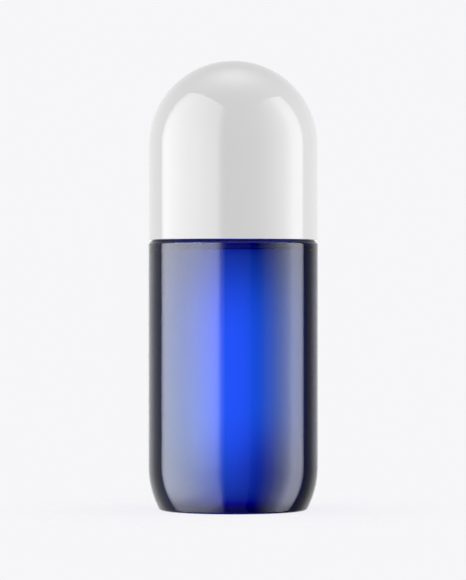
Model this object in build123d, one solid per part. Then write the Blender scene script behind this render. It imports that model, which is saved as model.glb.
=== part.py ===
from build123d import *

import math
import os

# Roll-on vial: a blue glass body under a tall domed screw cap of the same
# diameter, with a free-turning applicator ball in a fitment pressed into the neck.
# Millimetres. +Z is up, the origin is the centre of the bearing face.

# ---- overall -------------------------------------------------------------
BODY_R = 20.1            # glass barrel
CAP_R = 20.05            # cap, a hair inside the barrel
SHOULDER_Z = 64.0        # top plane of the glass shoulder
CAP_GAP = 0.1            # cap edge above the shoulder
DOME_Z = 86.5            # centre of the hemispherical dome
APEX_Z = DOME_Z + CAP_R  # top of the cap

# ---- glass ---------------------------------------------------------------
HEEL_R = 22.3            # long heel curve, tangent to the barrel
HEEL_Z = 10.5            # where it meets the barrel
BASE_CORNER = 0.9
BEARING_IN_R = 14.2      # inner edge of the bearing ring
PUNT_H = 1.2             # push-up under the base
SHOULDER_BEVEL = 0.9
INNER_R = 17.2           # bore of the barrel
FLOOR_Z = 3.5
FLOOR_ROUND = 3.5
INNER_SHOULDER_Z = 61.65
INNER_SHOULDER_ROUND = 2.0
NECK_R = 15.3
NECK_BORE_R = 12.8
NECK_Z = 74.0            # sealing rim

# ---- thread: right-hand, three starts ------------------------------------
LEAD = 9.0
STARTS = 3
MALE_TIP_R = 16.5
FEMALE_TIP_R = 15.75
FEMALE_ROOT_R = 17.0
FLANK = 0.4167           # axial half-width gained per mm of depth
TIP_HALF = 0.35
MALE_Z, MALE_TURN = 66.3, 200.0
FEMALE_Z, FEMALE_TURN, FEMALE_FROM = 66.6, 150.0, 60.0

# ---- applicator ball and its fitment -------------------------------------
BALL_R = 14.3
BALL_WALL = 1.6
BALL_Z = 82.4
SEAT_R = BALL_R + 0.1
CUP_R = 15.4
LIP_H = 4.6              # retaining lip above the ball's equator
SEAT_H = 9.6             # lower edge of the seat below the equator
BOWL_R = 15.0
FEED_R = 4.5
PLUG_R = 12.55
PLUG_Z = 66.4
RIB_R = NECK_BORE_R + 0.05
RIB_ZS = (67.8, 70.1, 72.4)

# ---- cap -----------------------------------------------------------------
SHELL_IN_R = 18.3
INSERT_R = 18.2
INSERT_IN_R = FEMALE_ROOT_R
INSERT_Z = 65.3
DISC_LOW, DISC_TOP = 99.0, 100.3
STEM_HOLE_R = 2.6
CRUSH_R = SHELL_IN_R + 0.05

# ---- seal pad ------------------------------------------------------------
PAD_IN_R = BALL_R + 0.15
PAD_OUT_R = 16.4
PAD_ANGLE = 40.0
STEM_R = 2.4

# ---- contents ------------------------------------------------------------
FILL_Z = 61.5
FILL_GAP = 0.05


def on_sphere(radius, r, centre_z, up=1):
    """Height at distance r from the axis, on a sphere centred on the axis."""
    return centre_z + up * math.sqrt(radius * radius - r * r)


def arc_mid(radius, centre_z, start, end, centre_r=0.0):
    """Point half-way round the shorter arc from start to end."""
    a = math.atan2(start[1] - centre_z, start[0] - centre_r)
    b = math.atan2(end[1] - centre_z, end[0] - centre_r)
    m = (a + b) / 2
    return (centre_r + radius * math.cos(m), centre_z + radius * math.sin(m))


def turned(steps, rounds=()):
    """Solid of revolution about Z. A step is (r, z) for a straight run, or
    (r_mid, z_mid, r, z) for an arc; rounds are ((r, z), radius)."""
    edges = []
    at = steps[0]
    for step in list(steps[1:]) + [steps[0]]:
        end = step[-2:]
        if math.dist(at, end) < 1e-9:
            continue
        a, b = Vector(at[0], 0, at[1]), Vector(end[0], 0, end[1])
        if len(step) == 4:
            edges.append(Edge.make_three_point_arc(a, Vector(step[0], 0, step[1]), b))
        else:
            edges.append(Edge.make_line(a, b))
        at = end
    face = Face(Wire(edges))
    for (r, z), radius in rounds:
        corner = Vector(r, 0, z)
        vertex = min(face.vertices(), key=lambda v: (Vector(v) - corner).length)
        face = face.fillet_2d(radius, [vertex])
    return Solid(revolve(face, Axis.Z, 360).solids()[0].wrapped)


def ridge(root_r, tip_r, root_half, z0, turn_deg):
    """One start of a thread: four helical faces and two flat ends."""
    height = LEAD * turn_deg / 360

    def helix(radius, dz):
        edge = Edge.make_helix(LEAD, height, radius)
        return edge.moved(Location((0, 0, z0 + dz)))

    rl, rh = helix(root_r, -root_half), helix(root_r, root_half)
    tl, th = helix(tip_r, -TIP_HALF), helix(tip_r, TIP_HALF)
    faces = [
        Face.make_surface_from_curves(rl, tl),
        Face.make_surface_from_curves(tl, th),
        Face.make_surface_from_curves(th, rh),
        Face.make_surface_from_curves(rh, rl),
    ]
    for t in (0, 1):
        corners = [e @ t for e in (rl, tl, th, rh)]
        faces.append(Face(Wire.make_polygon(corners, close=True)))
    return Solid(Shell(faces))


def ramps(inner_r, outer_r, turn_deg, z0, outside):
    """Two cutters that fade a ridge out over its first and last 14 degrees."""
    cut = []
    fade = 14.0
    size = 12.0
    height = LEAD * turn_deg / 360
    for end_deg, sign in ((0.0, 1), (turn_deg, -1)):
        far, near = (outer_r, inner_r) if outside else (inner_r, outer_r)
        a0 = math.radians(end_deg - sign * 1.0)
        a1 = math.radians(end_deg + sign * fade)
        p0 = Vector(near * math.cos(a0), near * math.sin(a0), 0)
        p1 = Vector(far * math.cos(a1), far * math.sin(a1), 0)
        along = (p1 - p0).normalized()
        mid = (p0 + p1) / 2
        away = Vector(-along.Y, along.X, 0)
        if (away.dot(mid.normalized()) > 0) != outside:
            away = away * -1
        centre = mid + away * (size / 2)
        plane = Plane(
            origin=(centre.X, centre.Y, z0 + height / 2), x_dir=along, z_dir=(0, 0, 1)
        )
        cut.append(plane * Box(size, size, height + 8))
    return cut


def threads(root_r, tip_r, root_half, z0, turn_deg, first_deg, outside):
    start = ridge(root_r, tip_r, root_half, z0, turn_deg)
    for cutter in ramps(
        min(root_r, tip_r), max(root_r, tip_r), turn_deg, z0, outside
    ):
        start = start - cutter
    return [
        Rot(0, 0, first_deg + i * 360 / STARTS) * start for i in range(STARTS)
    ]


# ---- bottle --------------------------------------------------------------
heel_centre_r = BODY_R - HEEL_R
base_r = heel_centre_r + math.sqrt(HEEL_R**2 - HEEL_Z**2)
heel_mid = arc_mid(HEEL_R, HEEL_Z, (base_r, 0), (BODY_R, HEEL_Z), heel_centre_r)
inner_heel_r = INNER_R - heel_centre_r
inner_floor_r = heel_centre_r + math.sqrt(inner_heel_r**2 - (HEEL_Z - FLOOR_Z) ** 2)
inner_heel_mid = arc_mid(
    inner_heel_r, HEEL_Z, (INNER_R, HEEL_Z), (inner_floor_r, FLOOR_Z), heel_centre_r
)
bottle = turned(
    [
        (0, PUNT_H),
        (BEARING_IN_R * 0.55, PUNT_H * 0.72, BEARING_IN_R, 0),
        (base_r, 0),
        (*heel_mid, BODY_R, HEEL_Z),
        (BODY_R, SHOULDER_Z - SHOULDER_BEVEL),
        (BODY_R - SHOULDER_BEVEL, SHOULDER_Z),
        (NECK_R, SHOULDER_Z),
        (NECK_R, NECK_Z),
        (NECK_BORE_R, NECK_Z),
        (NECK_BORE_R, INNER_SHOULDER_Z),
        (INNER_R, INNER_SHOULDER_Z),
        (INNER_R, HEEL_Z),
        (*inner_heel_mid, inner_floor_r, FLOOR_Z),
        (0, FLOOR_Z),
    ],
    rounds=[
        ((BEARING_IN_R, 0), 0.6),
        ((base_r, 0), BASE_CORNER),
        ((BODY_R, SHOULDER_Z - SHOULDER_BEVEL), 0.5),
        ((BODY_R - SHOULDER_BEVEL, SHOULDER_Z), 0.3),
        ((NECK_R, SHOULDER_Z), 0.6),
        ((NECK_R, NECK_Z), 0.6),
        ((NECK_BORE_R, NECK_Z), 0.5),
        ((NECK_BORE_R, INNER_SHOULDER_Z), 1.0),
        ((INNER_R, INNER_SHOULDER_Z), INNER_SHOULDER_ROUND),
        ((inner_floor_r, FLOOR_Z), FLOOR_ROUND),
    ],
)
male_root = NECK_R - 0.3
for start in threads(
    male_root,
    MALE_TIP_R,
    TIP_HALF + FLANK * (MALE_TIP_R - male_root),
    MALE_Z,
    MALE_TURN,
    0.0,
    True,
):
    bottle = bottle + start

# ---- contents: up to a level just under the inner shoulder ----------------
bend_r, bend_z = INNER_R - INNER_SHOULDER_ROUND, INNER_SHOULDER_Z - INNER_SHOULDER_ROUND
fill_bend = INNER_SHOULDER_ROUND - FILL_GAP
fill_edge = (bend_r + math.sqrt(fill_bend**2 - (FILL_Z - bend_z) ** 2), FILL_Z)
fill_floor = FLOOR_Z + FILL_GAP
fill_heel_r = inner_heel_r - FILL_GAP
fill_floor_r = heel_centre_r + math.sqrt(fill_heel_r**2 - (HEEL_Z - fill_floor) ** 2)
fill_heel_mid = arc_mid(
    fill_heel_r, HEEL_Z, (fill_floor_r, fill_floor), (INNER_R - FILL_GAP, HEEL_Z), heel_centre_r
)
liquid_fill = turned(
    [
        (0, fill_floor),
        (fill_floor_r, fill_floor),
        (*fill_heel_mid, INNER_R - FILL_GAP, HEEL_Z),
        (INNER_R - FILL_GAP, bend_z),
        (*arc_mid(fill_bend, bend_z, (INNER_R - FILL_GAP, bend_z), fill_edge, bend_r), *fill_edge),
        (0, FILL_Z),
    ],
    rounds=[((fill_floor_r, fill_floor), FLOOR_ROUND)],
)

# ---- ball housing --------------------------------------------------------
lip_r = math.sqrt(SEAT_R**2 - LIP_H**2)
seat_r = math.sqrt(SEAT_R**2 - SEAT_H**2)
bowl_top = (math.sqrt(BOWL_R**2 - 10.0**2), BALL_Z - 10.0)
bowl_low = (FEED_R, on_sphere(BOWL_R, FEED_R, BALL_Z, -1))
BOWL_OUT_R = BOWL_R + 1.1
under_low = (FEED_R, on_sphere(BOWL_OUT_R, FEED_R, BALL_Z, -1))
SKIRT_IN_R = PLUG_R - 1.1
under_top = (SKIRT_IN_R, on_sphere(BOWL_OUT_R, SKIRT_IN_R, BALL_Z, -1))
ball_housing = turned(
    [
        (PLUG_R - 0.5, PLUG_Z),
        (PLUG_R, PLUG_Z + 1.0),
        (PLUG_R, NECK_Z),
        (NECK_R, NECK_Z),
        (NECK_R, NECK_Z + 1.4),
        (NECK_R - 0.75, NECK_Z + 1.9),
        (NECK_R - 0.75, NECK_Z + 2.5),
        (CUP_R, NECK_Z + 4.8),
        (CUP_R, BALL_Z + 3.9),
        (CUP_R - 1.15, BALL_Z + 5.2),
        (lip_r + 0.12, BALL_Z + 5.2),
        (lip_r, BALL_Z + LIP_H),
        (SEAT_R, BALL_Z, seat_r, BALL_Z - SEAT_H),
        bowl_top,
        (*arc_mid(BOWL_R, BALL_Z, bowl_top, bowl_low), *bowl_low),
        under_low,
        (*arc_mid(BOWL_OUT_R, BALL_Z, under_low, under_top), *under_top),
        (SKIRT_IN_R, PLUG_Z),
    ],
    rounds=[
        ((NECK_R, NECK_Z + 1.4), 0.3),
        ((CUP_R, NECK_Z + 4.8), 1.0),
        ((CUP_R, BALL_Z + 3.9), 0.7),
        ((CUP_R - 1.15, BALL_Z + 5.2), 0.4),
    ],
)
for z in RIB_ZS:
    ball_housing = ball_housing + turned(
        [
            (PLUG_R - 0.4, z - 0.65),
            (RIB_R, z - 0.3),
            (RIB_R, z + 0.3),
            (PLUG_R - 0.4, z + 0.65),
        ]
    )
for i in range(6):
    channel = (Pos(0, 0, BALL_Z) * Sphere(BOWL_R)) & (
        Rot(0, 0, 30 + 60 * i) * (Pos(11.6, 0, BALL_Z - 8.1) * Box(5.4, 1.6, 3.8))
    )
    ball_housing = ball_housing - channel

# ---- ball: two half shells welded on the plane y = 0 ----------------------
BALL_IN_R = BALL_R - BALL_WALL
TONGUE_R, TONGUE_H = 13.5, 0.8
half_arc = (BALL_R * math.sqrt(0.5), BALL_R * math.sqrt(0.5))
half_arc_in = (BALL_IN_R * math.sqrt(0.5), BALL_IN_R * math.sqrt(0.5))
front_half = turned(
    [
        (TONGUE_R - 0.05, -TONGUE_H + 0.05),
        (TONGUE_R - 0.05, 0),
        (BALL_R, 0),
        (*half_arc, 0, BALL_R),
        (0, BALL_IN_R),
        (*half_arc_in, BALL_IN_R, 0),
        (BALL_IN_R, -TONGUE_H + 0.05),
    ]
)
step_r = math.sqrt(BALL_IN_R**2 - TONGUE_H**2)
back_mid = arc_mid(BALL_IN_R, 0, (0.0, BALL_IN_R), (step_r, TONGUE_H))
back_half = turned(
    [
        (TONGUE_R, 0),
        (BALL_R, 0),
        (*half_arc, 0, BALL_R),
        (0, BALL_IN_R),
        (*back_mid, step_r, TONGUE_H),
        (TONGUE_R, TONGUE_H),
    ]
)
ball_half_front = Pos(0, 0, BALL_Z) * Rot(90, 0, 0) * front_half
ball_half_back = Pos(0, 0, BALL_Z) * Rot(-90, 0, 0) * back_half

# ---- cap shell -----------------------------------------------------------
CAP_Z = SHOULDER_Z + CAP_GAP
s = math.sqrt(0.5)
cap_shell = turned(
    [
        (SHELL_IN_R, CAP_Z),
        (CAP_R, CAP_Z),
        (CAP_R, DOME_Z),
        (CAP_R * s, DOME_Z + CAP_R * s, 0, APEX_Z),
        (0, DOME_Z + SHELL_IN_R),
        (SHELL_IN_R * s, DOME_Z + SHELL_IN_R * s, SHELL_IN_R, DOME_Z),
        (SHELL_IN_R, INSERT_Z - 0.02),
        (SHELL_IN_R - 0.4, INSERT_Z - 0.2),
        (SHELL_IN_R - 0.4, INSERT_Z - 0.55),
        (SHELL_IN_R, INSERT_Z - 0.8),
    ],
    rounds=[((CAP_R, CAP_Z), 0.12), ((SHELL_IN_R, CAP_Z), 0.2)],
)

# ---- cap insert: threaded sleeve, closed above the ball -------------------
disc_r = math.sqrt(INSERT_R**2 - (DISC_TOP - DOME_Z) ** 2)
disc_in_r = math.sqrt(INSERT_IN_R**2 - (DISC_LOW - DOME_Z) ** 2)
RING_IN, RING_OUT = 8.2, 9.4
RING_R = PAD_OUT_R + 0.15
cap_insert = turned(
    [
        (INSERT_IN_R + 0.6, INSERT_Z),
        (INSERT_R, INSERT_Z),
        (INSERT_R, DOME_Z),
        (*arc_mid(INSERT_R, DOME_Z, (INSERT_R, DOME_Z), (disc_r, DISC_TOP)), disc_r, DISC_TOP),
        (STEM_HOLE_R, DISC_TOP),
        (STEM_HOLE_R, DISC_LOW),
        (RING_IN, DISC_LOW),
        (RING_IN, on_sphere(RING_R, RING_IN, BALL_Z) + 0.02),
        (RING_OUT, on_sphere(RING_R, RING_OUT, BALL_Z) + 0.02),
        (RING_OUT, DISC_LOW),
        (disc_in_r, DISC_LOW),
        (*arc_mid(INSERT_IN_R, DOME_Z, (disc_in_r, DISC_LOW), (INSERT_IN_R, DOME_Z)), INSERT_IN_R, DOME_Z),
        (INSERT_IN_R, INSERT_Z + 0.7),
    ]
)
female_root = FEMALE_ROOT_R + 0.3
for start in threads(
    female_root,
    FEMALE_TIP_R,
    TIP_HALF + FLANK * (female_root - FEMALE_TIP_R),
    FEMALE_Z,
    FEMALE_TURN,
    FEMALE_FROM,
    False,
):
    cap_insert = cap_insert + start
for i in range(8):
    crush = Rot(0, 0, 45 * i) * (
        Pos(CRUSH_R - 0.2, 0, 75.5) * Box(0.4, 1.0, 16.0)
    )
    cap_insert = cap_insert + crush

# ---- seal pad: a soft spherical washer on a snap stem ---------------------
pa = math.radians(90 - PAD_ANGLE)
pad_in_edge = (PAD_IN_R * math.cos(pa), BALL_Z + PAD_IN_R * math.sin(pa))
pad_out_edge = (PAD_OUT_R * math.cos(pa), BALL_Z + PAD_OUT_R * math.sin(pa))
BOSS_R = 5.0
boss_foot = (BOSS_R, on_sphere(PAD_OUT_R, BOSS_R, BALL_Z))
HEAD_LOW = DISC_TOP + 0.15
seal_pad = turned(
    [
        (0, BALL_Z + PAD_IN_R),
        (*arc_mid(PAD_IN_R, BALL_Z, (0, BALL_Z + PAD_IN_R), pad_in_edge), *pad_in_edge),
        pad_out_edge,
        (*arc_mid(PAD_OUT_R, BALL_Z, pad_out_edge, boss_foot), *boss_foot),
        (BOSS_R, DISC_LOW - 0.12),
        (STEM_R, DISC_LOW - 0.12),
        (STEM_R, HEAD_LOW),
        (3.5, HEAD_LOW),
        (3.3, HEAD_LOW + 0.7),
        (1.9, HEAD_LOW + 1.9),
        (0, HEAD_LOW + 1.9),
    ],
    rounds=[(pad_in_edge, 0.5), (pad_out_edge, 0.7)],
)

nodes = {
    "bottle": bottle,
    "liquid_fill": liquid_fill,
    "ball_housing": ball_housing,
    "ball_half_front": ball_half_front,
    "ball_half_back": ball_half_back,
    "cap_shell": cap_shell,
    "cap_insert": cap_insert,
    "seal_pad": seal_pad,
}

os.makedirs("parts", exist_ok=True)
for name, shape in nodes.items():
    solids = shape.solids()
    box = shape.bounding_box()
    print(
        name,
        len(solids),
        round(sum(x.volume for x in solids), 1),
        [round(v, 3) for v in (*box.min, *box.max)],
    )
    export_step(shape, f"parts/{name}.step")
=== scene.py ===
import math

import bmesh
import bpy
import numpy as np
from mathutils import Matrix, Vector


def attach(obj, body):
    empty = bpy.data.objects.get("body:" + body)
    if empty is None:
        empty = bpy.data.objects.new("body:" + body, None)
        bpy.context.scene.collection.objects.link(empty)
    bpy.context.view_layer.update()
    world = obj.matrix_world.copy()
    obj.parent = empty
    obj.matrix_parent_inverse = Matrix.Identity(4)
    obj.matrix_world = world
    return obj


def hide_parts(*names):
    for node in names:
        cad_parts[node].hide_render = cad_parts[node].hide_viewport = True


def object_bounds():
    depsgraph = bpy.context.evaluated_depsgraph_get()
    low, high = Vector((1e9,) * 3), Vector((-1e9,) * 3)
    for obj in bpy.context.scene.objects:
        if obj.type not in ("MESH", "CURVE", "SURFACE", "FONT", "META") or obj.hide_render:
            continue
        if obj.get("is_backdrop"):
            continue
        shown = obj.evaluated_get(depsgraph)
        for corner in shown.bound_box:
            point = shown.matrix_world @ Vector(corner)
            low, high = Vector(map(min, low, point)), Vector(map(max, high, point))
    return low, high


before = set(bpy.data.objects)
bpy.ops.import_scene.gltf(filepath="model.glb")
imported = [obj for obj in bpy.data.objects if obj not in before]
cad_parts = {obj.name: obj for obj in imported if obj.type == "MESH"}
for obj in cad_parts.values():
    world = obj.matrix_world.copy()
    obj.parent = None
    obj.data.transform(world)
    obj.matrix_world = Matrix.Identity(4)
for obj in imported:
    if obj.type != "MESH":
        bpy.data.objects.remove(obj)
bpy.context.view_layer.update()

scene = bpy.context.scene
scene.view_settings.view_transform = "Standard"
scene.view_settings.look = "None"

MM = 0.001
SEG = 256

# ---- dimensions in millimetres, as in the CAD part -------------------------
BODY_R, CAP_R = 20.09, 20.04
SHOULDER_Z, CAP_Z, DOME_Z = 64.0, 64.04, 86.5
HEEL_R, HEEL_Z = 22.3, 10.5
NECK_R, BORE_R, NECK_Z = 15.3, 12.8, 74.0
INNER_R, FLOOR_Z, ROOF_Z = 17.2, 3.5, 61.65
FILL_Z = 61.6
LEAD = 9.0
BALL_R, BALL_Z, BALL_WALL = 14.3, 82.4, 1.6
SHELL_IN_R, INSERT_R, INSERT_IN_R, INSERT_Z = 18.3, 18.2, 17.0, 65.3


# ---- mesh code --------------------------------------------------------------
def arc(cr, cz, radius, a0, a1, step=3.0):
    """Points on an arc in the r-z plane, angles in degrees from +r towards +z."""
    n = max(2, int(math.ceil(abs(a1 - a0) / step)) + 1)
    return [
        (
            cr + radius * math.cos(math.radians(a)),
            cz + radius * math.sin(math.radians(a)),
        )
        for a in np.linspace(a0, a1, n)
    ]


def rounded(corners, step=9.0):
    """An open line of (r, z) or (r, z, radius) corners, with each rounded corner as an arc."""
    out = []
    for i, c in enumerate(corners):
        if len(c) == 2 or not c[2] or i in (0, len(corners) - 1):
            out.append((c[0], c[1]))
            continue
        p, q, s = (Vector(x[:2]) for x in (corners[i - 1], c, corners[i + 1]))
        u, v = (p - q).normalized(), (s - q).normalized()
        half = math.acos(max(-1.0, min(1.0, u.dot(v)))) / 2
        if half > math.radians(89.5):
            out.append(tuple(q))
            continue
        t = c[2] / math.tan(half)
        centre = q + (u + v).normalized() * (c[2] / math.sin(half))
        a, b = q + u * t - centre, q + v * t - centre
        a0, a1 = math.atan2(a.y, a.x), math.atan2(b.y, b.x)
        turn = (a1 - a0 + math.pi) % (2 * math.pi) - math.pi
        n = max(3, int(math.ceil(abs(math.degrees(turn)) / step)) + 1)
        for k in range(n):
            w = a0 + turn * k / (n - 1)
            out.append(
                (centre.x + c[2] * math.cos(w), centre.y + c[2] * math.sin(w))
            )
    return out


def dense(points, longest=1.5, hold=0.12, fine=None, closed=True):
    """The line with its long straight runs divided, and a ring held close to each end of a run."""
    out = []
    n = len(points)
    for i in range(n if closed else n - 1):
        a, b = points[i], points[(i + 1) % n]
        out.append(a)
        length = math.dist(a, b)
        mid = ((a[0] + b[0]) / 2, (a[1] + b[1]) / 2)
        most = longest if fine is None else fine(mid, longest)
        if length <= most:
            continue
        ends = min(hold, length / 4)
        cuts = [ends / length]
        inner = length - 2 * ends
        k = max(1, int(math.ceil(inner / most)))
        cuts += [(ends + inner * j / k) / length for j in range(1, k)]
        cuts.append(1 - ends / length)
        for t in cuts:
            out.append((a[0] + (b[0] - a[0]) * t, a[1] + (b[1] - a[1]) * t))
    if not closed:
        out.append(points[-1])
    return out


def lathe(name, points, segs=SEG, shape=None, axis="Z", sharp=32.0):
    """A closed mesh turned about an axis. points run from pole to pole, or round a closed loop.
    shape(theta, r, z) may move a ring's points in or out."""
    clean = [points[0]]
    for p in points[1:]:
        if math.dist(p, clean[-1]) > 1e-4:
            clean.append(p)
    poles = clean[0][0] < 1e-6 and clean[-1][0] < 1e-6
    if not poles and math.dist(clean[0], clean[-1]) < 1e-4:
        clean.pop()
    theta = np.arange(segs) * 2 * math.pi / segs
    verts, rings = [], []
    for r, z in clean:
        if r < 1e-6:
            rings.append([len(verts)])
            verts.append((0.0, 0.0, z))
            continue
        rr = np.full(segs, float(r)) if shape is None else shape(theta, r, z)
        rings.append(list(range(len(verts), len(verts) + segs)))
        verts += [
            (float(x), float(y), z)
            for x, y in zip(rr * np.cos(theta), rr * np.sin(theta))
        ]
    faces = []
    pairs = list(zip(rings[:-1], rings[1:]))
    if not poles:
        pairs.append((rings[-1], rings[0]))
    for low, high in pairs:
        if len(low) == 1 and len(high) == 1:
            continue
        for j in range(segs):
            k = (j + 1) % segs
            if len(low) == 1:
                faces.append((low[0], high[k], high[j]))
            elif len(high) == 1:
                faces.append((low[j], low[k], high[0]))
            else:
                faces.append((low[j], low[k], high[k], high[j]))
    co = np.array(verts) * MM
    if axis == "-Y":
        co = co[:, (0, 2, 1)] * np.array((1, -1, 1))
    elif axis == "+Y":
        co = co[:, (0, 2, 1)]
    mesh = bpy.data.meshes.new(name)
    mesh.from_pydata(co.tolist(), [], faces)
    bm = bmesh.new()
    bm.from_mesh(mesh)
    bmesh.ops.recalc_face_normals(bm, faces=bm.faces)
    bm.to_mesh(mesh)
    bm.free()
    mesh.polygons.foreach_set("use_smooth", [True] * len(mesh.polygons))
    mesh.set_sharp_from_angle(angle=math.radians(sharp))
    mesh.update()
    obj = bpy.data.objects.new(name, mesh)
    scene.collection.objects.link(obj)
    return obj


def smooth(t):
    t = np.clip(t, 0.0, 1.0)
    return t * t * (3 - 2 * t)


def thread_height(theta, z, z0, turn, first):
    """0 to 1: how far a point is up on one of three rounded right-hand ridges."""
    deg = np.degrees(theta)
    height = np.zeros_like(deg)
    for i in range(3):
        local = np.mod(deg - first - 120.0 * i, 360.0)
        inside = local <= turn
        away = np.abs(z - (z0 + LEAD * local / 360.0))
        ridge = smooth((0.86 - away) / 0.54)
        fade = smooth(local / 15.0) * smooth((turn - local) / 15.0)
        height = np.maximum(height, np.where(inside, ridge * fade, 0.0))
    return height


# ---- materials --------------------------------------------------------------
def new_material(name):
    mat = bpy.data.materials.new(name)
    mat.use_nodes = True
    nt = mat.node_tree
    for n in list(nt.nodes):
        if n.type not in ("OUTPUT_MATERIAL", "BSDF_PRINCIPLED"):
            nt.nodes.remove(n)
    shader = next(n for n in nt.nodes if n.type == "BSDF_PRINCIPLED")
    out = next(n for n in nt.nodes if n.type == "OUTPUT_MATERIAL")
    return mat, nt, shader, out


def node(nt, kind, **values):
    n = nt.nodes.new(kind)
    for key, value in values.items():
        if hasattr(n, key):
            setattr(n, key, value)
        else:
            n.inputs[key].default_value = value
    return n


def math_node(nt, operation, a, b=None, c=None):
    n = nt.nodes.new("ShaderNodeMath")
    n.operation = operation
    for i, value in enumerate((a, b, c)):
        if value is None:
            continue
        if isinstance(value, (int, float)):
            n.inputs[i].default_value = value
        else:
            nt.links.new(value, n.inputs[i])
    return n.outputs[0]


def ramp(nt, factor, stops, interpolation="LINEAR"):
    n = nt.nodes.new("ShaderNodeValToRGB")
    n.color_ramp.interpolation = interpolation
    while len(n.color_ramp.elements) > 1:
        n.color_ramp.elements.remove(n.color_ramp.elements[-1])
    for i, (at, value) in enumerate(stops):
        e = n.color_ramp.elements[0] if i == 0 else n.color_ramp.elements.new(at)
        e.position = at
        e.color = (*value, 1) if isinstance(value, tuple) else (value, value, value, 1)
    nt.links.new(factor, n.inputs["Fac"])
    return n.outputs["Color"]


def surface_detail(nt, shader, fine=900.0, coarse=60.0, rough=(0.05, 0.09), bump=0.02, wave=0.02):
    """Fine moulded texture: a small change of roughness, a fine grain and a slow waviness."""
    at = nt.nodes.new("ShaderNodeTexCoord").outputs["Object"]
    slow = node(nt, "ShaderNodeTexNoise", Scale=coarse, Detail=2.0, Roughness=0.5)
    quick = node(nt, "ShaderNodeTexNoise", Scale=fine, Detail=4.0, Roughness=0.6)
    nt.links.new(at, slow.inputs["Vector"])
    nt.links.new(at, quick.inputs["Vector"])
    both = math_node(
        nt,
        "ADD",
        math_node(nt, "MULTIPLY", slow.outputs["Fac"], 0.6),
        math_node(nt, "MULTIPLY", quick.outputs["Fac"], 0.4),
    )
    spread = nt.nodes.new("ShaderNodeMapRange")
    nt.links.new(both, spread.inputs["Value"])
    spread.inputs["From Min"].default_value = 0.3
    spread.inputs["From Max"].default_value = 0.7
    spread.inputs["To Min"].default_value = rough[0]
    spread.inputs["To Max"].default_value = rough[1]
    nt.links.new(spread.outputs["Result"], shader.inputs["Roughness"])
    b1 = node(nt, "ShaderNodeBump", Strength=wave, Distance=0.002)
    nt.links.new(slow.outputs["Fac"], b1.inputs["Height"])
    b2 = node(nt, "ShaderNodeBump", Strength=bump, Distance=0.0001)
    nt.links.new(quick.outputs["Fac"], b2.inputs["Height"])
    nt.links.new(b1.outputs["Normal"], b2.inputs["Normal"])
    nt.links.new(b2.outputs["Normal"], shader.inputs["Normal"])
    return b2


LIQUID_IOR = 1.5


def place(nt):
    """Distance from the axis, and height, in the bottle's own frame."""
    at = nt.nodes.new("ShaderNodeTexCoord").outputs["Object"]
    split = nt.nodes.new("ShaderNodeSeparateXYZ")
    nt.links.new(at, split.inputs[0])
    x, y, z = split.outputs
    r2 = math_node(nt, "ADD", math_node(nt, "MULTIPLY", x, x), math_node(nt, "MULTIPLY", y, y))
    return r2, z


def glass_material():
    mat, nt, shader, out = new_material("cobalt_glass")
    shader.inputs["Base Color"].default_value = (1, 1, 1, 1)
    shader.inputs["Transmission Weight"].default_value = 1.0
    shader.inputs["IOR"].default_value = 1.5
    shader.inputs["Specular Tint"].default_value = (0.8, 0.84, 1.0, 1)
    shader.inputs["Roughness"].default_value = 0.0
    # the wall that the liquid wets bends light only by the difference of the two
    r2, z = place(nt)
    wet = math_node(nt, "LESS_THAN", r2, 0.01765**2)
    wet = math_node(nt, "MULTIPLY", wet, math_node(nt, "GREATER_THAN", z, 0.0016))
    wet = math_node(nt, "MULTIPLY", wet, math_node(nt, "LESS_THAN", z, (ROOF_Z + 0.003) * MM))
    ior = math_node(nt, "MULTIPLY_ADD", wet, 1.5 / LIQUID_IOR - 1.5, 1.5)
    nt.links.new(ior, shader.inputs["IOR"])
    # painted shade: the glass over the shoulder's chamfer, just under the cap, gets a dark blue-grey base colour
    shoulder_painted_shade = math_node(nt, "MULTIPLY", math_node(nt, "GREATER_THAN", r2, 0.0187**2), math_node(nt, "GREATER_THAN", z, 0.06305))
    shoulder_shade_tint = nt.nodes.new("ShaderNodeMixRGB")
    nt.links.new(shoulder_painted_shade, shoulder_shade_tint.inputs["Fac"])
    shoulder_shade_tint.inputs["Color1"].default_value = (1, 1, 1, 1)
    shoulder_shade_tint.inputs["Color2"].default_value = (0.06, 0.06, 0.14, 1)
    nt.links.new(shoulder_shade_tint.outputs["Color"], shader.inputs["Base Color"])
    absorb = nt.nodes.new("ShaderNodeVolumeAbsorption")
    absorb.inputs["Color"].default_value = (0.089, 0.491, 0.983, 1)
    absorb.inputs["Density"].default_value = 900.0
    nt.links.new(absorb.outputs["Volume"], out.inputs["Volume"])
    return mat


# painted glow, standing in for back light scattered through the liquid: the core's light along a line through
# its middle, and the wider glow's light per millimetre
CORE_PAINTED_GLOW = (0.15, 0.02, 0.54)
WIDE_PAINTED_GLOW = (0.0, 0.0124, 0.0122)


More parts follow.
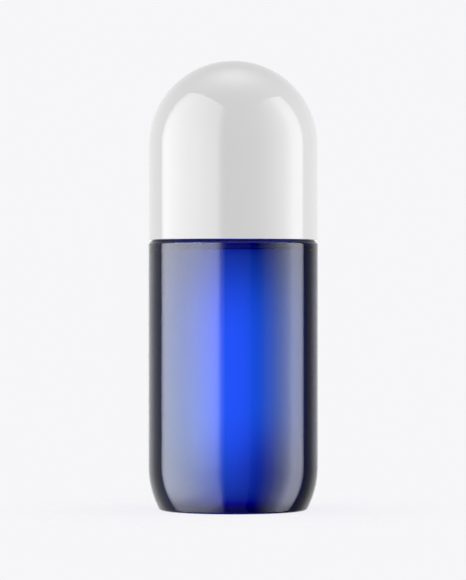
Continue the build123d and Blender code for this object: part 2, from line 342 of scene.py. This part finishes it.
def liquid_material():
    mat, nt, shader, out = new_material("blue_liquid")
    shader.inputs["Base Color"].default_value = (1, 1, 1, 1)
    shader.inputs["Transmission Weight"].default_value = 1.0
    shader.inputs["IOR"].default_value = LIQUID_IOR
    shader.inputs["Roughness"].default_value = 0.0
    r2, z = place(nt)
    # only the free surface bends light: the wetted wall already has
    top = math_node(nt, "GREATER_THAN", z, (FILL_Z - 0.004) * MM)
    nt.links.new(math_node(nt, "MULTIPLY_ADD", top, LIQUID_IOR - 1.0, 1.0), shader.inputs["IOR"])
    # painted glow: a bright core inside a wider, even glow, both fading towards the two ends
    sr, wide, half, zc = 0.0040, 0.0113, 0.0249, 0.0325
    dz = math_node(nt, "ABSOLUTE", math_node(nt, "SUBTRACT", z, zc))
    ends = math_node(
        nt,
        "EXPONENT",
        math_node(nt, "MULTIPLY", math_node(nt, "POWER", math_node(nt, "MULTIPLY", dz, 1 / half), 3.5), -1.0),
    )
    core = math_node(nt, "EXPONENT", math_node(nt, "MULTIPLY", r2, -1 / (2 * sr * sr)))
    edge = nt.nodes.new("ShaderNodeMapRange")
    edge.interpolation_type = "SMOOTHSTEP"
    nt.links.new(math_node(nt, "SQRT", r2), edge.inputs["Value"])
    edge.inputs["From Min"].default_value = wide - 0.0004
    edge.inputs["From Max"].default_value = wide + 0.0004
    edge.inputs["To Min"].default_value = 1.0
    edge.inputs["To Max"].default_value = 0.0
    # painted shade: low down, the even glow is weaker on one side, as if the light came in from the other
    at = nt.nodes.new("ShaderNodeTexCoord").outputs["Object"]
    split = nt.nodes.new("ShaderNodeSeparateXYZ")
    nt.links.new(at, split.inputs[0])
    shade = []
    for value, start, end, most in (
        (split.outputs[0], -0.001, 0.005, 0.66),
        (z, 0.026, 0.008, 1.0),
        (split.outputs[0], 0.0, -0.004, 1.0),
        (z, 0.045, 0.016, 1.0),
    ):
        n = nt.nodes.new("ShaderNodeMapRange")
        n.interpolation_type = "SMOOTHSTEP"
        nt.links.new(value, n.inputs["Value"])
        n.inputs["From Min"].default_value = min(start, end)
        n.inputs["From Max"].default_value = max(start, end)
        n.inputs["To Min"].default_value = 0.0 if start < end else most
        n.inputs["To Max"].default_value = most if start < end else 0.0
        shade.append(n.outputs["Result"])
    one_side_painted_shade = math_node(nt, "SUBTRACT", 1.0, math_node(nt, "MULTIPLY", shade[0], shade[1]))
    even = math_node(nt, "MULTIPLY", edge.outputs["Result"], one_side_painted_shade)
    # painted glow: both parts are light given off by the liquid itself
    add = nt.nodes.new("ShaderNodeAddShader")
    for share, colour, strength in (
        (core, CORE_PAINTED_GLOW, 1.0 / (sr * math.sqrt(2 * math.pi))),
        (even, WIDE_PAINTED_GLOW, 1.0 / MM),
    ):
        emit = nt.nodes.new("ShaderNodeEmission")
        emit.inputs["Color"].default_value = (*colour, 1)
        if share is even:
            # painted glow: and a little greener on the other side
            hue = nt.nodes.new("ShaderNodeMixRGB")
            nt.links.new(math_node(nt, "MULTIPLY", shade[2], shade[3]), hue.inputs["Fac"])
            hue.inputs["Color1"].default_value = (*colour, 1)
            hue.inputs["Color2"].default_value = (0.0, colour[1] * 1.4, colour[2], 1)
            nt.links.new(hue.outputs["Color"], emit.inputs["Color"])
        nt.links.new(
            math_node(nt, "MULTIPLY", math_node(nt, "MULTIPLY", share, ends), strength), emit.inputs["Strength"]
        )
        nt.links.new(emit.outputs[0], add.inputs[0 if share is core else 1])
    absorb = nt.nodes.new("ShaderNodeVolumeAbsorption")
    absorb.inputs["Color"].default_value = (0.3, 0.6, 0.97, 1)
    absorb.inputs["Density"].default_value = 12.0
    both = nt.nodes.new("ShaderNodeAddShader")
    nt.links.new(add.outputs[0], both.inputs[0])
    nt.links.new(absorb.outputs[0], both.inputs[1])
    nt.links.new(both.outputs[0], out.inputs["Volume"])
    mat.cycles.volume_step_rate = 0.4
    return mat


def plastic_material(name, colour, rough, bump=0.02, wave=0.02, fine=900.0, **sockets):
    mat, nt, shader, out = new_material(name)
    shader.inputs["Base Color"].default_value = (*colour, 1)
    shader.inputs["IOR"].default_value = 1.5
    for key, value in sockets.items():
        shader.inputs[key.replace("_", " ")].default_value = value
    surface_detail(nt, shader, fine=fine, rough=rough, bump=bump, wave=wave)
    return mat


MATS = {
    "bottle": glass_material(),
    "liquid": liquid_material(),
    "cap": plastic_material("white_gloss_plastic", (0.80, 0.80, 0.80), (0.02, 0.05), 0.01, 0.004, IOR=1.35),
    "natural": plastic_material("natural_plastic", (0.74, 0.74, 0.72), (0.30, 0.42), 0.10, 0.01),
    "ball": plastic_material("ball_plastic", (0.80, 0.80, 0.79), (0.06, 0.12), 0.02, 0.005),
    "pad": plastic_material("soft_elastomer", (0.66, 0.66, 0.64), (0.55, 0.7), 0.2, 0.02),
}


def finish_piece(obj, mat, body, slot, *nodes):
    obj.data.materials.append(MATS[mat])
    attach(obj, body)
    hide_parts(*nodes)
    return obj


# ---- bottle -----------------------------------------------------------------
punt = [(r, 1.2 - r * r / 169.2) for r in np.linspace(0.0, 13.4, 14)]
HEEL_C = BODY_R - HEEL_R
a_end = math.degrees(math.asin(-(HEEL_Z - 0.6) / HEEL_R))
heel = arc(HEEL_C, HEEL_Z, HEEL_R, a_end, 0.0, step=1.5)
tan_r, tan_z = math.sin(math.radians(a_end)), -math.cos(math.radians(a_end))
corner_r = heel[0][0] + tan_r * (heel[0][1] / -tan_z)
# the inside follows the heel, then turns into the floor
IN_HEEL_R, FLOOR_ROUND = INNER_R - HEEL_C, 3.5
turn_z = FLOOR_Z + FLOOR_ROUND
turn_r = HEEL_C + math.sqrt((IN_HEEL_R - FLOOR_ROUND) ** 2 - (HEEL_Z - turn_z) ** 2)
turn_a = math.degrees(math.atan2(turn_z - HEEL_Z, turn_r - HEEL_C))
outline = (
    rounded(
        punt
        + [(14.2, 0.0, 0.6), (corner_r, 0.0, 0.9)]
        + heel
        + [
            (BODY_R, SHOULDER_Z - 0.9, 0.5),
            (BODY_R - 0.9, SHOULDER_Z, 0.3),
            (NECK_R, SHOULDER_Z, 0.6),
            (NECK_R, NECK_Z, 0.6),
            (BORE_R, NECK_Z, 0.5),
            (BORE_R, ROOF_Z, 1.0),
            (INNER_R, ROOF_Z, 2.0),
            (INNER_R, 40.0),
        ],
        step=6.0,
    )
    + arc(HEEL_C, HEEL_Z, IN_HEEL_R, 0.0, turn_a, step=2.0)
    + arc(turn_r, turn_z, FLOOR_ROUND, turn_a, -90.0, step=5.0)
    + [(0.0, FLOOR_Z)]
)


def neck_rows(mid, usual):
    return 0.14 if abs(mid[0] - NECK_R) < 0.02 and 64.5 < mid[1] < 73.5 else usual


outline = dense(outline, fine=neck_rows, closed=False)


def neck_thread(theta, r, z):
    if abs(r - NECK_R) < 0.02 and 64.6 < z < 73.4:
        return r + 1.17 * thread_height(theta, z, 66.3, 200.0, 0.0)
    return np.full_like(theta, r)


bottle = lathe("bottle_glass", outline, shape=neck_thread)
finish_piece(bottle, "bottle", "vial", "blue_glass", "bottle")

# ---- contents ---------------------------------------------------------------
gap = 0.03
bend = 2.0 - gap
top_r = 15.2 + math.sqrt(bend**2 - (FILL_Z - 59.65) ** 2)
top_a = math.degrees(math.asin((FILL_Z - 59.65) / bend))
fill = (
    [(0.0, FLOOR_Z + gap)]
    + arc(turn_r, turn_z, FLOOR_ROUND - gap, -90.0, turn_a, step=5.0)
    + arc(HEEL_C, HEEL_Z, IN_HEEL_R - gap, turn_a, 0.0, step=2.0)
    + arc(15.2, 59.65, bend, 0.0, top_a, step=6.0)
    + [(0.0, FILL_Z)]
)
liquid = lathe("liquid", dense(fill, closed=False, longest=2.0))
finish_piece(liquid, "liquid", "vial", "liquid", "liquid_fill")

# ---- ball housing -----------------------------------------------------------
SEAT_R, BOWL_R, OUT_BOWL_R = BALL_R + 0.1, 15.0, 16.1


def ball_angle(radius, h):
    return math.degrees(math.asin(h / radius))


lip_r = math.sqrt(SEAT_R**2 - 4.6**2)
house = rounded(
    [
        (12.05, 66.4),
        (12.55, 67.3),
        (12.55, 67.5),
        (12.78, 67.6),
        (12.78, 68.0),
        (12.55, 68.1),
        (12.55, 69.8),
        (12.78, 69.9),
        (12.78, 70.3),
        (12.55, 70.4),
        (12.55, 72.1),
        (12.78, 72.2),
        (12.78, 72.6),
        (12.55, 72.7),
        (12.55, 74.02),
        (15.3, 74.02, 0.15),
        (15.3, 75.4, 0.4),
        (14.55, 75.9, 0.3),
        (14.55, 76.5, 0.4),
        (15.4, 78.8, 1.2),
        (15.4, 86.3, 0.8),
        (14.25, 87.6, 0.5),
        (lip_r + 0.12, 87.6, 0.1),
    ]
) + arc(0, BALL_Z, SEAT_R, ball_angle(SEAT_R, 4.6), ball_angle(SEAT_R, -9.6), 2.0)
house += arc(0, BALL_Z, BOWL_R, ball_angle(BOWL_R, -10.0), -math.degrees(math.acos(4.5 / BOWL_R)), 2.0)
house += arc(0, BALL_Z, OUT_BOWL_R, -math.degrees(math.acos(4.5 / OUT_BOWL_R)), -math.degrees(math.acos(11.45 / OUT_BOWL_R)), 2.0)
house += [(11.45, 66.4)]


def seat_channels(theta, r, z):
    rr = np.full_like(theta, r)
    h = z - BALL_Z
    if -9.9 < h < -6.3 and abs(math.hypot(r, h) - SEAT_R) < 0.02:
        deg = np.degrees(theta)
        off = np.abs(np.mod(deg - 30.0 + 30.0, 60.0) - 30.0)
        wide = np.radians(off) * r
        depth = math.sqrt(BOWL_R**2 - h * h) - r
        return rr + depth * smooth((0.95 - wide) / 0.25)
    return rr


housing = lathe("ball_housing_fitment", dense(house), shape=seat_channels)
finish_piece(housing, "natural", "vial", "natural_plastic", "ball_housing")

# ---- ball: two welded half shells, with a fine weld line --------------------
IN_R = BALL_R - BALL_WALL


# ---- cap shell --------------------------------------------------------------
shell = (
    [(0.0, DOME_Z + SHELL_IN_R)]
    + arc(0, DOME_Z, SHELL_IN_R, 88.0, 0.0, 2.0)
    + rounded(
        [
            (SHELL_IN_R, 65.9),
            (SHELL_IN_R, 65.28),
            (17.9, 65.1, 0.1),
            (17.9, 64.75, 0.1),
            (SHELL_IN_R, 64.5),
            (SHELL_IN_R, CAP_Z, 0.2),
            (CAP_R, CAP_Z, 0.12),
            (CAP_R, 66.0),
        ]
    )
    + arc(0, DOME_Z, CAP_R, 0.0, 88.5, 1.5)
    + [(0.0, DOME_Z + CAP_R)]
)
cap_shell = lathe("cap_dome_shell", dense(shell, closed=False), segs=288)
finish_piece(cap_shell, "cap", "cap", "white_gloss", "cap_shell")

# ---- cap insert -------------------------------------------------------------
disc_r = math.sqrt(INSERT_R**2 - (100.3 - DOME_Z) ** 2)
disc_in_r = math.sqrt(INSERT_IN_R**2 - (99.0 - DOME_Z) ** 2)
ring_r = 16.55


def over_ball(radius, r):
    return BALL_Z + math.sqrt(radius**2 - r * r)


insert = (
    rounded([(17.6, INSERT_Z), (INSERT_R, INSERT_Z, 0.2), (INSERT_R, 66.0)])
    + arc(0, DOME_Z, INSERT_R, 0.0, math.degrees(math.acos(disc_r / INSERT_R)), 2.0)
    + rounded(
        [
            (disc_r - 0.1, 100.3),
            (2.6, 100.3, 0.15),
            (2.6, 99.0, 0.15),
            (8.2, 99.0, 0.3),
            (8.2, over_ball(ring_r, 8.2) + 0.02, 0.2),
            (9.4, over_ball(ring_r, 9.4) + 0.02, 0.2),
            (9.4, 99.0, 0.3),
            (disc_in_r - 0.1, 99.0),
        ]
    )
    + arc(0, DOME_Z, INSERT_IN_R, math.degrees(math.acos(disc_in_r / INSERT_IN_R)), 0.0, 2.0)
    + rounded([(INSERT_IN_R, 85.0), (INSERT_IN_R, 66.0, 0.3), (17.6, INSERT_Z)])
)


def sleeve_rows(mid, usual):
    return 0.14 if abs(mid[0] - INSERT_IN_R) < 0.02 and 65.9 < mid[1] < 72.0 else usual


def sleeve_thread(theta, r, z):
    rr = np.full_like(theta, r)
    if abs(r - INSERT_IN_R) < 0.02 and 65.9 < z < 72.0:
        return rr - 1.22 * thread_height(theta, z, 66.6, 150.0, 60.0)
    if abs(r - INSERT_R) < 0.02 and 67.5 < z < 83.5:
        off = np.abs(np.mod(np.degrees(theta) + 22.5, 45.0) - 22.5)
        return rr + 0.08 * smooth((2.2 - off) / 0.8)
    return rr


cap_insert = lathe("cap_threaded_insert", dense(insert, fine=sleeve_rows), shape=sleeve_thread)
finish_piece(cap_insert, "natural", "cap", "natural_plastic", "cap_insert")

# ---- seal pad ---------------------------------------------------------------
PAD_IN, PAD_OUT, PAD_A = BALL_R + 0.15, 16.4, 50.0


def around_ball(radius, a):
    a = math.radians(a)
    return (radius * math.cos(a), BALL_Z + radius * math.sin(a))


boss_a = math.degrees(math.acos(5.0 / PAD_OUT))
pad = (
    [(0.0, BALL_Z + PAD_IN)]
    + arc(0, BALL_Z, PAD_IN, 89.0, PAD_A + 2.0, 2.0)
    + rounded(
        [
            around_ball(PAD_IN, PAD_A + 1.9),
            (*around_ball(PAD_IN, PAD_A), 0.5),
            (*around_ball(PAD_OUT, PAD_A), 0.7),
            around_ball(PAD_OUT, PAD_A + 3.0),
        ]
    )
    + arc(0, BALL_Z, PAD_OUT, PAD_A + 4.0, boss_a, 2.0)
    + rounded(
        [
            (5.0, 98.1),
            (5.0, 98.88, 0.2),
            (2.4, 98.88, 0.1),
            (2.4, 100.45, 0.1),
            (3.5, 100.45, 0.15),
            (3.3, 101.15, 0.3),
            (1.9, 102.35, 0.4),
            (0.0, 102.35),
        ]
    )
)
seal_pad = lathe("seal_pad_soft", dense(pad, closed=False, longest=1.0), segs=160)
finish_piece(seal_pad, "pad", "seal", "soft_elastomer", "seal_pad")


def pole_half(name, outer, inner_start, rim, axis):
    """A half shell: outer surface from the rim to its pole, inner surface back to the rim, one closed skin each side joined by the rim."""
    segs = 192
    theta = np.arange(segs) * 2 * math.pi / segs
    verts, faces, rings = [], [], []
    line = outer + [None] + inner_start + rim
    for p in line:
        if p is None:
            continue
        r, h = p
        if r < 1e-6:
            rings.append([len(verts)])
            verts.append((0.0, 0.0, h))
        else:
            rings.append(list(range(len(verts), len(verts) + segs)))
            verts += [(r * math.cos(t), r * math.sin(t), h) for t in theta]
    n = len(rings)
    for i in range(n):
        low, high = rings[i], rings[(i + 1) % n]
        if len(low) == 1 and len(high) == 1:
            continue
        for j in range(segs):
            q = (j + 1) % segs
            if len(low) == 1:
                faces.append((low[0], high[q], high[j]))
            elif len(high) == 1:
                faces.append((low[j], low[q], high[0]))
            else:
                faces.append((low[j], low[q], high[q], high[j]))
    co = np.array(verts) * MM
    sign = -1.0 if axis == "-Y" else 1.0
    co = np.stack((co[:, 0], sign * co[:, 2], co[:, 1] + BALL_Z * MM), axis=1)
    mesh = bpy.data.meshes.new(name)
    mesh.from_pydata(co.tolist(), [], faces)
    bm = bmesh.new()
    bm.from_mesh(mesh)
    bmesh.ops.recalc_face_normals(bm, faces=bm.faces)
    bm.to_mesh(mesh)
    bm.free()
    mesh.polygons.foreach_set("use_smooth", [True] * len(mesh.polygons))
    mesh.set_sharp_from_angle(angle=math.radians(32.0))
    obj = bpy.data.objects.new(name, mesh)
    scene.collection.objects.link(obj)
    return obj


ball_front = pole_half(
    "ball_front_half",
    [(BALL_R - 0.06, 0.0), (BALL_R - 0.02, 0.02)] + arc(0, 0, BALL_R, 0.3, 88.0, 2.0) + [(0.0, BALL_R)],
    [(0.0, IN_R)] + arc(0, 0, IN_R, 88.0, 0.0, 2.0),
    [(IN_R, -0.75), (13.45, -0.75), (13.45, 0.0)],
    "-Y",
)
finish_piece(ball_front, "ball", "ball", "ball_plastic", "ball_half_front")
ball_back = pole_half(
    "ball_back_half",
    [(BALL_R - 0.06, 0.0), (BALL_R - 0.02, 0.02)] + arc(0, 0, BALL_R, 0.3, 88.0, 2.0) + [(0.0, BALL_R)],
    [(0.0, IN_R)] + arc(0, 0, IN_R, 88.0, math.degrees(math.asin(0.8 / IN_R)), 2.0),
    [(13.5, 0.8), (13.5, 0.0)],
    "+Y",
)
finish_piece(ball_back, "ball", "ball", "ball_plastic", "ball_half_back")


# ---- stage: light, floor, camera --------------------------------------------
def world_light():
    world = bpy.data.worlds.new("studio")
    scene.world = world
    world.use_nodes = True
    nt = world.node_tree
    nt.nodes.clear()
    at = nt.nodes.new("ShaderNodeTexCoord").outputs["Generated"]
    unit = nt.nodes.new("ShaderNodeVectorMath")
    unit.operation = "NORMALIZE"
    nt.links.new(at, unit.inputs[0])
    split = nt.nodes.new("ShaderNodeSeparateXYZ")
    nt.links.new(unit.outputs[0], split.inputs[0])
    x, y, z = split.outputs

    # soft fill on matte surfaces: a little stronger from both sides and above
    x2 = math_node(nt, "MULTIPLY", x, x)
    up = math_node(nt, "MAXIMUM", z, 0.0)
    fill_light = math_node(
        nt,
        "ADD",
        math_node(nt, "MULTIPLY_ADD", x, 0.06, math_node(nt, "MULTIPLY_ADD", x2, 0.96, 0.53)),
        math_node(nt, "MULTIPLY", math_node(nt, "MULTIPLY", up, up), 0.12),
    )
    # what glossy surfaces mirror: a pale backdrop that darkens towards the camera, and a soft light overhead
    t = math_node(nt, "MULTIPLY_ADD", y, 0.5, 0.5)
    mirror = ramp(
        nt,
        t,
        [(0.0, 0.12), (0.6, 0.12), (0.74, 0.15), (0.7685, 0.19), (0.83, 0.315), (0.8975, 0.62), (0.945, 0.74), (1.0, 0.92)],
    )
    west = math_node(nt, "MULTIPLY", math_node(nt, "MAXIMUM", math_node(nt, "MULTIPLY", x, -1.0), 0.0), 0.35)
    spot = nt.nodes.new("ShaderNodeVectorMath")
    spot.operation = "DOT_PRODUCT"
    nt.links.new(unit.outputs[0], spot.inputs[0])
    spot.inputs[1].default_value = (0.0, 0.17, 0.985)
    soft = math_node(
        nt,
        "MULTIPLY",
        math_node(nt, "POWER", math_node(nt, "MAXIMUM", spot.outputs["Value"], 0.0), 14.0),
        3.6,
    )
    soft = math_node(nt, "ADD", soft, west)
    mirror_sum = nt.nodes.new("ShaderNodeMixRGB")
    mirror_sum.blend_type = "ADD"
    mirror_sum.inputs["Fac"].default_value = 1.0
    nt.links.new(mirror, mirror_sum.inputs["Color1"])
    nt.links.new(soft, mirror_sum.inputs["Color2"])
    # what shows through the glass
    side = math_node(nt, "ABSOLUTE", y)
    through = ramp(
        nt,
        side,
        [
            (0.0, 0.004),
            (0.55, 0.005),
            (0.63, 0.008),
            (0.75, 0.03),
            (0.844, 0.035),
            (0.922, 0.045),
            (0.948, 0.08),
            (0.984, 0.12),
            (1.0, 0.19),
        ],
    )
    level = nt.nodes.new("ShaderNodeMapRange")
    level.interpolation_type = "SMOOTHSTEP"
    nt.links.new(math_node(nt, "ABSOLUTE", z), level.inputs["Value"])
    level.inputs["From Min"].default_value = 0.13
    level.inputs["From Max"].default_value = 0.38
    level.inputs["To Min"].default_value = 1.0
    level.inputs["To Max"].default_value = 0.12
    dimmed = nt.nodes.new("ShaderNodeMixRGB")
    dimmed.blend_type = "MULTIPLY"
    dimmed.inputs["Fac"].default_value = 1.0
    nt.links.new(through, dimmed.inputs["Color1"])
    nt.links.new(level.outputs["Result"], dimmed.inputs["Color2"])
    through = dimmed.outputs["Color"]

    path = nt.nodes.new("ShaderNodeLightPath")

    def pick(flag, a, b):
        n = nt.nodes.new("ShaderNodeMixRGB")
        nt.links.new(path.outputs[flag], n.inputs["Fac"])
        nt.links.new(a, n.inputs["Color1"])
        if isinstance(b, tuple):
            n.inputs["Color2"].default_value = (*b, 1)
        else:
            nt.links.new(b, n.inputs["Color2"])
        return n.outputs["Color"]

    colour = pick("Is Glossy Ray", fill_light, mirror_sum.outputs["Color"])
    colour = pick("Is Transmission Ray", colour, through)
    colour = pick("Is Camera Ray", colour, (0.9216, 0.9216, 0.9387))
    back = nt.nodes.new("ShaderNodeBackground")
    nt.links.new(colour, back.inputs["Color"])
    out = nt.nodes.new("ShaderNodeOutputWorld")
    nt.links.new(back.outputs[0], out.inputs["Surface"])


def panel(name, azimuth, distance, front, back, low, high_front, high_back, stops, fade, near_fade, mix, centre_z=0.0865):
    """A tall soft light at the side, seen only in reflections. It runs from front (camera side) to back,
    both in distances from its nearest point. stops are (azimuth from the camera, radiance), and
    fade is (height in distances above the dome's centre, share of the radiance); near_fade takes its place
    towards the camera, between the two azimuths of mix."""
    a = math.radians(azimuth)
    out_dir = Vector((math.sin(a), -math.cos(a), 0))
    along = Vector((math.cos(a), math.sin(a), 0))
    if azimuth < 0:
        along = -along
    c = out_dir * distance
    near, far = c - along * front * distance, c + along * back * distance
    pts = [
        near + Vector((0, 0, centre_z + low * distance)),
        far + Vector((0, 0, centre_z + low * distance)),
        far + Vector((0, 0, centre_z + high_back * distance)),
        near + Vector((0, 0, centre_z + high_front * distance)),
    ]
    mesh = bpy.data.meshes.new(name)
    mesh.from_pydata([tuple(p) for p in pts], [], [(0, 1, 2, 3)])
    obj = bpy.data.objects.new(name, mesh)
    scene.collection.objects.link(obj)
    mat = bpy.data.materials.new(name)
    mat.use_nodes = True
    nt = mat.node_tree
    nt.nodes.clear()
    at = nt.nodes.new("ShaderNodeTexCoord").outputs["Object"]
    across = nt.nodes.new("ShaderNodeVectorMath")
    across.operation = "DOT_PRODUCT"
    nt.links.new(at, across.inputs[0])
    across.inputs[1].default_value = tuple(along / ((front + back) * distance))
    share = math_node(nt, "ADD", across.outputs["Value"], front / (front + back))

    def share_at(az):
        return (math.tan(math.radians(az - abs(azimuth))) + front) / (front + back)

    most = max(v for _, v in stops)
    colour = ramp(nt, share, [(min(1.0, max(0.0, share_at(az))), v / most) for az, v in stops])
    split = nt.nodes.new("ShaderNodeSeparateXYZ")
    nt.links.new(at, split.inputs[0])
    height = math_node(nt, "MULTIPLY_ADD", split.outputs[2], 1 / (8 * distance), 0.5 - centre_z / (8 * distance))
    blend = nt.nodes.new("ShaderNodeMixRGB")
    nt.links.new(ramp(nt, share, [(share_at(mix[0]), 1.0), (share_at(mix[1]), 0.0)]), blend.inputs["Fac"])
    nt.links.new(ramp(nt, height, [(0.5 + h / 8, v) for h, v in fade]), blend.inputs["Color1"])
    nt.links.new(ramp(nt, height, [(0.5 + h / 8, v) for h, v in near_fade]), blend.inputs["Color2"])
    dim = blend.outputs["Color"]
    emit = nt.nodes.new("ShaderNodeEmission")
    nt.links.new(math_node(nt, "MULTIPLY", dim, most), emit.inputs["Strength"])
    nt.links.new(colour, emit.inputs["Color"])
    out = nt.nodes.new("ShaderNodeOutputMaterial")
    nt.links.new(emit.outputs[0], out.inputs["Surface"])
    mat.cycles.emission_sampling = "NONE"
    mesh.materials.append(mat)
    obj.visible_camera = False
    obj.visible_diffuse = False
    obj.visible_transmission = False
    obj.visible_volume_scatter = False
    obj.visible_shadow = False
    obj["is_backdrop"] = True
    return obj


def floor():
    size = 0.5
    mesh = bpy.data.meshes.new("floor")
    mesh.from_pydata(
        [(-size, -size, -0.00002), (size, -size, -0.00002), (size, size, -0.00002), (-size, size, -0.00002)],
        [],
        [(0, 1, 2, 3)],
    )
    obj = bpy.data.objects.new("floor", mesh)
    scene.collection.objects.link(obj)
    mat = bpy.data.materials.new("pale_floor")
    mat.use_nodes = True
    nt = mat.node_tree
    nt.nodes.clear()
    at = nt.nodes.new("ShaderNodeTexCoord").outputs["Object"]
    length = nt.nodes.new("ShaderNodeVectorMath")
    length.operation = "LENGTH"
    nt.links.new(at, length.inputs[0])
    solid = ramp(nt, math_node(nt, "MULTIPLY", length.outputs["Value"], 10.0), [(0.0, 1.0), (0.3, 1.0), (0.75, 0.0)], "EASE")
    diffuse = nt.nodes.new("ShaderNodeBsdfDiffuse")
    diffuse.inputs["Color"].default_value = (0.16, 0.16, 0.16, 1)
    emit = nt.nodes.new("ShaderNodeEmission")
    emit.inputs["Color"].default_value = (0.793, 0.793, 0.81, 1)
    add = nt.nodes.new("ShaderNodeAddShader")
    nt.links.new(diffuse.outputs[0], add.inputs[0])
    nt.links.new(emit.outputs[0], add.inputs[1])
    clear = nt.nodes.new("ShaderNodeBsdfTransparent")
    mix = nt.nodes.new("ShaderNodeMixShader")
    nt.links.new(solid, mix.inputs["Fac"])
    nt.links.new(clear.outputs[0], mix.inputs[1])
    nt.links.new(add.outputs[0], mix.inputs[2])
    out = nt.nodes.new("ShaderNodeOutputMaterial")
    nt.links.new(mix.outputs[0], out.inputs["Surface"])
    mat.cycles.emission_sampling = "NONE"
    mesh.materials.append(mat)
    obj.visible_glossy = False
    obj.visible_diffuse = False
    obj.visible_transmission = False
    obj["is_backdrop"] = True
    return obj


world_light()
high = [(0.1, 1.0), (0.57, 0.84), (1.0, 0.76), (1.3, 0.68)]
panel(
    "softbox_left",
    -66.0,
    0.6,
    1.50,
    1.08,
    -2.6,
    1.79,
    1.58,
    [
        (9.7, 0.0),
        (12.0, 0.6),
        (15.9, 1.55),
        (20.0, 4.6),
        (22.8, 5.9),
        (28.3, 6.4),
        (39.6, 7.1),
        (51.4, 8.1),
        (63.7, 7.9),
        (75.3, 8.1),
        (84.1, 8.0),
        (93.5, 7.5),
        (103.9, 6.7),
        (109.0, 4.7),
        (112.0, 3.0),
    ],
    [
        (-2.0, 0.08),
        (-1.6, 0.12),
        (-1.3, 0.29),
        (-1.113, 0.38),
        (-1.035, 0.43),
        (-0.964, 0.47),
        (-0.872, 0.57),
        (-0.79, 0.7),
        (-0.69, 0.86),
        (-0.6, 0.95),
        (-0.5, 1.0),
    ]
    + high,
    [
        (-2.5, 0.1),
        (-2.0, 0.15),
        (-1.7, 0.26),
        (-1.5, 0.4),
        (-1.35, 0.52),
        (-1.2, 0.57),
        (-1.05, 0.59),
        (-0.95, 0.6),
        (-0.77, 0.6),
        (-0.5, 0.62),
        (-0.215, 0.65),
        (-0.19, 0.74),
        (-0.18, 0.82),
        (-0.165, 0.92),
        (-0.14, 1.0),
    ]
    + high,
    (22.0, 80.0),
)
panel(
    "softbox_right",
    67.5,
    0.6,
    0.99,
    0.94,
    -1.8,
    1.33,
    1.33,
    [
        (24.0, 0.0),
        (31.9, 0.02),
        (39.0, 0.26),
        (46.2, 0.8),
        (53.7, 1.2),
        (61.4, 2.15),
        (69.5, 2.85),
        (77.9, 4.1),
        (86.9, 6.0),
        (96.6, 5.3),
        (103.0, 4.6),
        (105.5, 4.1),
        (107.4, 2.7),
        (110.5, 0.7),
    ],
    [
        (-1.8, 0.0),
        (-1.6, 0.12),
        (-1.3, 0.3),
        (-1.16, 0.42),
        (-1.07, 0.46),
        (-1.01, 0.5),
        (-0.95, 0.56),
        (-0.868, 0.7),
        (-0.782, 0.87),
        (-0.686, 0.92),
        (-0.375, 0.95),
        (-0.16, 1.0),
    ]
    + [(0.1, 1.0), (0.57, 0.9), (1.0, 0.82), (1.3, 0.75)],
    [
        (-1.6, 0.0),
        (-1.28, 0.2),
        (-1.2, 0.27),
        (-1.14, 0.34),
        (-1.04, 0.46),
        (-0.95, 0.54),
        (-0.8, 0.6),
        (-0.62, 0.64),
        (-0.43, 0.66),
        (-0.2, 0.67),
        (-0.172, 0.75),
        (-0.15, 1.0),
    ]
    + [(0.1, 1.0), (0.57, 0.9), (1.0, 0.82), (1.3, 0.75)],
    (40.0, 80.0),
)
floor()

cam_data = bpy.data.cameras.new("camera")
cam_data.sensor_width = 36.0
cam_data.sensor_fit = "AUTO"
cam_data.lens = 211.9
cam_data.clip_start = 0.01
cam_data.clip_end = 50.0
camera = bpy.data.objects.new("camera", cam_data)
scene.collection.objects.link(camera)
camera.location = (-0.00005, -0.810, 0.05216)
camera.rotation_euler = (math.radians(90), 0, 0)
scene.camera = camera

low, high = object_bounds()
